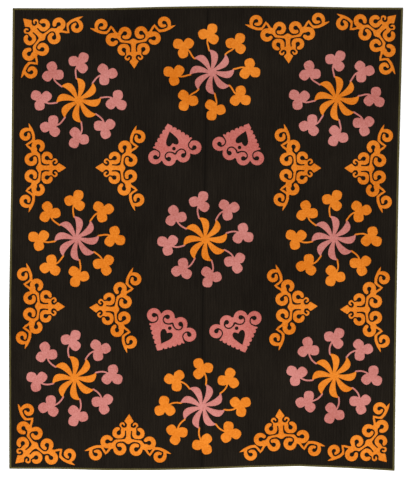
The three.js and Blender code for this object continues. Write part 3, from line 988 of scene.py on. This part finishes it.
def quilting_group():
    """Height of the quilted face, and how far its lines stray, at a point of the straight rectangle."""
    sizes = numbers(
        Across=0.0, Along=0.0, Pitch=PITCH, Crown=CROWN, Line=LINE, Join=JOIN, Waver=WAVER, Pucker=PUCKER,
        Reach=FIELD_X, Seed=SEED)
    labels = ("Height", "Stray", "Phase", "Dimple")
    tree, given, result = new_group(
        "quilting", "GeometryNodeTree", sizes, [(label, NUMBER) for label in labels])
    across, along = given["Across"], given["Along"]

    def uneven(scale, detail, roughness):
        """Noise with its own scales across and along."""
        parts = {0: product(tree, across, scale[0]), 1: product(tree, along, scale[1])}
        place = add_node(tree, "ShaderNodeCombineXYZ", parts).outputs[0]
        return noise(tree, place, 1.0, detail, roughness, given["Seed"])

    off_join = work_out(tree, "ABSOLUTE", across)
    off_edge = less(tree, given["Reach"], off_join)
    join_fade = clamped(tree, work_out(tree, "DIVIDE", off_join, WAVER_JOIN_FADE))
    edge_fade = clamped(tree, work_out(tree, "DIVIDE", off_edge, WAVER_EDGE_FADE))
    drift = uneven(WAVER_SCALE, detail=1.5, roughness=0.4)
    stray = product(tree, drift, given["Waver"], WAVER_GAIN, product(tree, join_fade, edge_fade))

    phase = work_out(tree, "DIVIDE", across, given["Pitch"])
    wave = work_out(tree, "ABSOLUTE", work_out(tree, "SINE", product(tree, phase, math.pi)))
    swell = work_out(tree, "POWER", wave, SWELL)
    dimple = uneven(PUCKER_SCALE, detail=2.0, roughness=0.6)
    rise = less(tree, given["Crown"], given["Line"])
    rise = total(tree, rise, product(tree, dimple, given["Pucker"], PUCKER_GAIN))
    groove = product(tree, near_zero(tree, off_join, JOIN_HALF), less(tree, given["Join"], given["Line"]))
    height = total(tree, given["Line"], product(tree, swell, rise), groove)
    for label, value in zip(labels, (height, stray, phase, dimple)):
        tree.links.new(value, result[label])
    return tree


SIZE_INPUTS = numbers(Crown=CROWN, Line=LINE, Waver=WAVER, Pucker=PUCKER, Seed=SEED)
PATCH_INPUTS = numbers(Level=PATCH_LEVEL, Relief=PATCH_RELIEF, Dimples=PATCH_PUCKER)


def kept_number(tree, label):
    """A number that a mesh keeps for each point."""
    made = add_node(tree, "GeometryNodeInputNamedAttribute", {"Name": label}, data_type="FLOAT")
    return made.outputs["Attribute"]


def place_quilting(tree, quilting, given):
    """The quilting group in a tree, with the sizes that the tree is given."""
    values = {"Across": kept_number(tree, "across"), "Along": kept_number(tree, "along")}
    values.update({label: given[label] for label, _, _ in SIZE_INPUTS})
    return add_node(tree, "GeometryNodeGroup", values, node_tree=quilting).outputs


def finish_tree(tree, geometry, given, result):
    """The last nodes of a tree: plain mesh and its cloth."""
    plain = add_node(tree, "GeometryNodeRealizeInstances", {0: geometry}).outputs[0]
    dressed = add_node(tree, "GeometryNodeSetMaterial", {"Geometry": plain, "Material": given["Cloth"]})
    tree.links.new(dressed.outputs[0], result["Mesh"])


def moved(tree, geometry, offset_x, height):
    """Geometry moved by an offset in x and to a height, both in millimetres."""
    position = add_node(tree, "GeometryNodeInputPosition").outputs[0]
    place = add_node(tree, "ShaderNodeSeparateXYZ", {0: position}).outputs
    x = work_out(tree, "MULTIPLY_ADD", offset_x, MM, place[0])
    target = add_node(tree, "ShaderNodeCombineXYZ", {0: x, 1: place[1], 2: product(tree, height, MM)})
    values = {"Geometry": geometry, "Position": target.outputs[0]}
    return add_node(tree, "GeometryNodeSetPosition", values).outputs[0]


def ground_tree(quilting):
    """Quilts a flat ground in channels, leaving its margin pressed and its underside flat."""
    tree, given, result = new_group(
        "quilted_ground", "GeometryNodeTree", [MESH_IN, *SIZE_INPUTS, CLOTH_IN], [MESH_OUT])
    face = place_quilting(tree, quilting, given)
    kind = kept_number(tree, "kind")
    in_field = work_out(tree, "GREATER_THAN", kind, (MARGIN + FIELD) / 2)
    on_top = work_out(tree, "GREATER_THAN", kind, (UNDERSIDE + MARGIN) / 2)
    raised = total(tree, face["Height"], kept_number(tree, "lift"))
    pressed = product(tree, on_top, MARGIN_TOP)
    height = total(tree, pressed, product(tree, in_field, less(tree, raised, MARGIN_TOP)))
    laid = moved(tree, given["Mesh"], product(tree, face["Stray"], in_field), height)
    values = {"Geometry": laid, "Name": "phase", "Value": face["Phase"]}
    marked = add_node(tree, "GeometryNodeStoreNamedAttribute", values, data_type="FLOAT", domain="POINT")
    finish_tree(tree, marked.outputs[0], given, result)
    return tree


def lay_on_quilting(tree, quilting, given):
    """Moves cut cloth to its own lift, with a little of the quilting under it and its dimples."""
    face = place_quilting(tree, quilting, given)
    relief = product(tree, less(tree, face["Height"], given["Crown"]), given["Relief"])
    dimples = product(tree, face["Dimple"], given["Dimples"], PUCKER_GAIN)
    height = total(tree, given["Level"], relief, dimples, kept_number(tree, "lift"))
    return moved(tree, given["Mesh"], 0.0, height)


def patch_tree(quilting):
    """Lays cut cloth on the quilting."""
    tree, given, result = new_group(
        "sewn_patch", "GeometryNodeTree", [MESH_IN, *SIZE_INPUTS, *PATCH_INPUTS, CLOTH_IN], [MESH_OUT])
    finish_tree(tree, lay_on_quilting(tree, quilting, given), given, result)
    return tree


def stitch_tree(quilting):
    """Slanted stitches over the edges of cut cloth, one at each step along its loops."""
    sizes = numbers(
        Spacing=STITCH_SPACING, Length=STITCH_LENGTH, Radius=STITCH_RADIUS, Slant=STITCH_SLANT,
        Tilt=STITCH_TILT)
    inputs = [MESH_IN, *SIZE_INPUTS, *PATCH_INPUTS, *sizes, CLOTH_IN]
    tree, given, result = new_group("edge_stitches", "GeometryNodeTree", inputs, [MESH_OUT])
    spacing, length, radius = (product(tree, given[label], MM) for label in ("Spacing", "Length", "Radius"))
    slant = work_out(tree, "RADIANS", given["Slant"])
    tilt = work_out(tree, "RADIANS", product(tree, given["Tilt"], -1.0))

    edges = add_node(tree, "GeometryNodeMeshToCurve", {"Mesh": lay_on_quilting(tree, quilting, given)})
    values = {"Curve": edges.outputs[0], "Length": spacing}
    steps = add_node(tree, "GeometryNodeResampleCurve", values, mode="LENGTH").outputs[0]

    values = {"Vertices": STITCH_SIDES, "Radius": radius, "Depth": length}
    bar = add_node(tree, "GeometryNodeMeshCylinder", values).outputs["Mesh"]
    values = {"Geometry": bar, "Rotation": (0, math.pi / 2, 0)}
    lying = add_node(tree, "GeometryNodeTransform", values).outputs[0]
    stitch = add_node(tree, "GeometryNodeSetShadeSmooth", {"Geometry": lying}).outputs[0]

    tangent = add_node(tree, "GeometryNodeInputTangent").outputs[0]
    heading = add_node(tree, "FunctionNodeAlignRotationToVector", {"Vector": tangent}, axis="X").outputs[0]
    lean = add_node(tree, "ShaderNodeCombineXYZ", {1: tilt, 2: slant}).outputs[0]
    leaning = add_node(tree, "FunctionNodeEulerToRotation", {0: lean}).outputs[0]
    values = {"Rotation": heading, "Rotate By": leaning}
    facing = add_node(tree, "FunctionNodeRotateRotation", values, rotation_space="LOCAL").outputs[0]
    values = {"Points": steps, "Instance": stitch, "Rotation": facing}
    finish_tree(tree, add_node(tree, "GeometryNodeInstanceOnPoints", values).outputs[0], given, result)
    return tree


def new_piece(name, mesh):
    """An object of the quilt, at the origin."""
    piece = bpy.data.objects.new(name, mesh)
    bpy.context.collection.objects.link(piece)
    return piece


def grown(mesh, name, tree, **values):
    """A new object with the plain mesh that a tree makes from a mesh."""
    helper = new_piece(name + "_start", mesh)
    modifier = helper.modifiers.new("tree", "NODES")
    modifier.node_group = tree
    for item in tree.interface.items_tree:
        if item.in_out == "INPUT" and item.name in values:
            modifier[item.identifier] = values[item.name]
    graph = bpy.context.evaluated_depsgraph_get()
    plain = bpy.data.meshes.new_from_object(
        helper.evaluated_get(graph), preserve_all_data_layers=True, depsgraph=graph)
    bpy.data.objects.remove(helper)
    plain.name = name
    return new_piece(name, plain)


# Finishes

def weave_group():
    """Crossing threads with slubs, as a height for the bump."""
    inputs = [PLACE_IN, *numbers(Threads=1400.0, Slub=0.6)]
    tree, given, result = new_group("weave", "ShaderNodeTree", inputs, [("Height", NUMBER)])
    axes = add_node(tree, "ShaderNodeSeparateXYZ", {0: given["Place"]}).outputs
    turn = product(tree, given["Threads"], 2 * math.pi)
    warp = work_out(tree, "SINE", product(tree, axes[0], turn))
    weft = work_out(tree, "SINE", product(tree, axes[1], turn))
    slub = noise(tree, given["Place"], SLUB_SCALE, detail=3.0, roughness=0.65)
    threads = product(tree, warp, weft, THREAD_HEIGHT)
    tree.links.new(total(tree, product(tree, slub, given["Slub"]), threads), result["Height"])
    return tree


def mottle_group():
    """Uneven dye and handling: fine mottling and broad fading, as a share between two shades of a cloth."""
    inputs = [PLACE_IN, *numbers(Grain=150.0, Fine=1.0, Broad=0.5)]
    tree, given, result = new_group("mottle", "ShaderNodeTree", inputs, [("Share", NUMBER)])
    fine = noise(tree, given["Place"], given["Grain"], detail=3.0, roughness=0.6, seed=1.3)
    broad = noise(tree, given["Place"], FADING_SCALE, seed=8.1)
    share = total(tree, product(tree, fine, given["Fine"]), product(tree, broad, given["Broad"]), 0.5)
    tree.links.new(clamped(tree, share), result["Share"])
    return tree


def linear(red, green, blue):
    """A colour for a shader from sRGB values up to 255, divided by the light that falls on it."""
    values = [c / 255 for c in (red, green, blue)]
    values = [c / 12.92 if c <= 0.04045 else ((c + 0.055) / 1.055) ** 2.4 for c in values]
    return (*[c / ILLUMINATION for c in values], 1)


def plain_material(name, roughness, specular):
    """A material with a plain shader, and the shader."""
    material = bpy.data.materials.new(name)
    material.use_nodes = True
    shader = material.node_tree.nodes["Principled BSDF"]
    shader.inputs["Roughness"].default_value = roughness
    shader.inputs["Specular IOR Level"].default_value = specular
    return material, shader


def new_material(name, roughness=1.0, specular=0.04):
    """A material for cloth or thread, and its node tree, shader and Object coordinates."""
    material, shader = plain_material(name, roughness, specular)
    tree = material.node_tree
    place = tree.nodes.new("ShaderNodeTexCoord").outputs["Object"]
    return material, tree, shader, place


def blended(tree, share, a, b):
    """A colour between two, by a share."""
    return add_node(tree, "ShaderNodeMix", {"Factor": share, 6: a, 7: b}, data_type="RGBA").outputs[2]


def place_group(tree, group, **values):
    """A shader group in a material, with its own values."""
    return add_node(tree, "ShaderNodeGroup", values, node_tree=group).outputs


def mottled(tree, mottle, place, shades, **values):
    """A colour between two shades of a cloth, uneven as a mottle group makes it."""
    share = place_group(tree, mottle, Place=place, **values)["Share"]
    return blended(tree, share, *(linear(*shade) for shade in shades))


def bump(tree, shader, height, depth):
    """A bump from a height on a shader's normal, with its depth in metres."""
    made = add_node(tree, "ShaderNodeBump", {"Height": height, "Distance": depth, "Strength": 1.0})
    tree.links.new(made.outputs[0], shader.inputs["Normal"])


def patch_cloth(name, weave, mottle, shades):
    """Plain dyed cotton, mottled."""
    material, tree, shader, place = new_material(name)
    colour = mottled(tree, mottle, place, shades, Grain=240.0, Fine=2.6, Broad=1.4)
    tree.links.new(colour, shader.inputs["Base Color"])
    height = place_group(tree, weave, Place=place, Threads=1500.0, Slub=0.8)["Height"]
    bump(tree, shader, height, FINE_WEAVE_DEPTH)
    return material


def shown_number(tree, label):
    """A number that a mesh keeps for each point, in a material."""
    return add_node(tree, "ShaderNodeAttribute", attribute_name=label).outputs["Fac"]


def running_stitches(tree):
    """A mask of dashes in the quilting lines."""
    phase, along = shown_number(tree, "phase"), shown_number(tree, "along")
    off_crown = work_out(tree, "ABSOLUTE", less(tree, work_out(tree, "FRACT", phase), 0.5))
    in_line = work_out(tree, "GREATER_THAN", off_crown, RUNNING_EDGE)
    step = work_out(tree, "FRACT", work_out(tree, "DIVIDE", along, RUNNING_PITCH))
    return product(tree, in_line, work_out(tree, "LESS_THAN", step, RUNNING_SHARE))


def ground_cloth(weave, mottle):
    """Dark wool, streaked and faded brown along the channels, with painted shade darkening it towards the
    join's groove, and running stitches.
    """
    material, tree, shader, place = new_material("dark_ground", specular=0.02)
    stretch = add_node(tree, "ShaderNodeMapping", {"Vector": place, "Scale": STREAK_STRETCH}).outputs[0]
    streak = place_group(tree, mottle, Place=stretch, Grain=160.0, Fine=1.8, Broad=0.6)["Share"]
    grain = place_group(tree, mottle, Place=place, Grain=230.0, Fine=2.6, Broad=1.4)["Share"]
    share = work_out(tree, "MULTIPLY_ADD", less(tree, streak, grain), STREAK_SHARE, grain)
    colour = blended(tree, share, *(linear(*shade) for shade in GROUND_SHADES))
    # Painted shade: the colour darkens towards the join, in place of the shade in its groove.
    off_join = work_out(tree, "ABSOLUTE", shown_number(tree, "across"))
    colour = blended(tree, near_zero(tree, off_join, JOIN_PAINTED_SHADE_REACH), colour, linear(*JOIN_PAINTED_SHADE_COLOUR))
    stitch = running_stitches(tree)
    colour = blended(tree, stitch, colour, linear(*RUNNING_COLOUR))
    tree.links.new(colour, shader.inputs["Base Color"])
    height = place_group(tree, weave, Place=place, Threads=900.0, Slub=0.9)["Height"]
    bump(tree, shader, work_out(tree, "MULTIPLY_ADD", stitch, RUNNING_HEIGHT, height), GROUND_WEAVE_DEPTH)
    return material


def binding_cloth(weave, mottle):
    """Olive tape, worn."""
    material, tree, shader, place = new_material("olive_binding")
    colour = mottled(tree, mottle, place, BINDING_SHADES, Grain=120.0, Fine=1.2, Broad=1.0)
    tree.links.new(colour, shader.inputs["Base Color"])
    height = place_group(tree, weave, Place=place, Threads=1100.0, Slub=0.9)["Height"]
    bump(tree, shader, height, FINE_WEAVE_DEPTH)
    return material


def thread(name, mottle, shades):
    """Sewing thread near a cloth's colour."""
    material, tree, shader, place = new_material(name, roughness=0.85, specular=0.2)
    colour = mottled(tree, mottle, place, shades, Grain=90.0, Fine=1.2, Broad=0.4)
    tree.links.new(colour, shader.inputs["Base Color"])
    return material


# The quilt, piece by piece

weave = weave_group()
mottle = mottle_group()
cloths = {name: patch_cloth(f"{name}_cotton", weave, mottle, shades) for name, shades in CLOTH_SHADES.items()}
threads = {name: thread(f"{name}_thread", mottle, shades) for name, shades in THREAD_SHADES.items()}
ground_finish = ground_cloth(weave, mottle)
binding_finish = binding_cloth(weave, mottle)

quilting = quilting_group()
patches = cut_patches()
goes_with = {-1: [], 1: []}


def own(piece, side, slot, *nodes):
    """Fixes a piece to the quilt's body and notes the width of ground that it goes with."""
    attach(piece, "root")
    if nodes:
        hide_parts(*nodes)
    goes_with[side].append(piece)


lay_patch = patch_tree(quilting)
for patch in patches:
    piece = grown(patch_mesh(patch), patch.name + "_cloth", lay_patch, Cloth=cloths[patch.cloth])
    own(piece, -1 if patch.x < 0 else 1, "applique_" + patch.cloth, patch.name)

sew_edges = stitch_tree(quilting)
for cloth in cloths:
    piece = grown(edge_mesh(cloth, patches), cloth + "_stitches", sew_edges, Cloth=threads[cloth])
    own(piece, 1, "applique_" + cloth)

for turn, side in enumerate(("foot", "right", "head", "left")):
    piece = new_piece(f"binding_{side}_strip", binding_mesh(f"binding_{side}_strip", turn))
    piece.data.materials.append(binding_finish)
    own(piece, -1 if side == "left" else 1, "binding", f"binding_{side}")

quilt_ground = ground_tree(quilting)
for side, name in ((-1, "ground_left"), (1, "ground_right")):
    piece = grown(ground_mesh(side, patches), name, quilt_ground, Cloth=ground_finish)
    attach(piece, "root")
    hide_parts("quilt")


# Room

def floor():
    """A plain pale floor."""
    half = FLOOR_SIZE / 2
    mesh = bpy.data.meshes.new("floor")
    corners = [(-half, -half), (half, -half), (half, half), (-half, half)]
    mesh.from_pydata([(x, y, -FLOOR_DROP) for x, y in corners], [], [(0, 1, 2, 3)])
    material, shader = plain_material("pale_floor", roughness=1.0, specular=0.0)
    shader.inputs["Base Color"].default_value = FLOOR_COLOUR
    mesh.materials.append(material)
    new_piece("floor", mesh)


def soft_light(name, place, power):
    """A large square light that faces the middle of the quilt."""
    lamp = bpy.data.lights.new(name, "AREA")
    lamp.size = LIGHT_SIZE
    lamp.energy = power
    light = bpy.data.objects.new(name, lamp)
    light.location = place
    light.rotation_euler = (-Vector(place)).to_track_quat("-Z", "Y").to_euler()
    bpy.context.collection.objects.link(light)


def room_light():
    """Even light from all round."""
    world = bpy.data.worlds.new("soft_room")
    world.use_nodes = True
    background = world.node_tree.nodes["Background"]
    background.inputs["Color"].default_value = ROOM_COLOUR
    background.inputs["Strength"].default_value = ROOM_LIGHT
    bpy.context.scene.world = world
    bpy.context.scene.view_settings.view_transform = "Standard"


def camera_above():
    """A camera that looks straight down on the quilt."""
    camera = bpy.data.objects.new("camera", bpy.data.cameras.new("camera"))
    camera.data.lens = CAMERA_LENS
    camera.data.sensor_width = SENSOR
    camera.location = CAMERA_PLACE
    bpy.context.collection.objects.link(camera)
    bpy.context.scene.camera = camera


floor()
for name, place, power in LIGHTS:
    soft_light(name, place, power)
room_light()
camera_above()
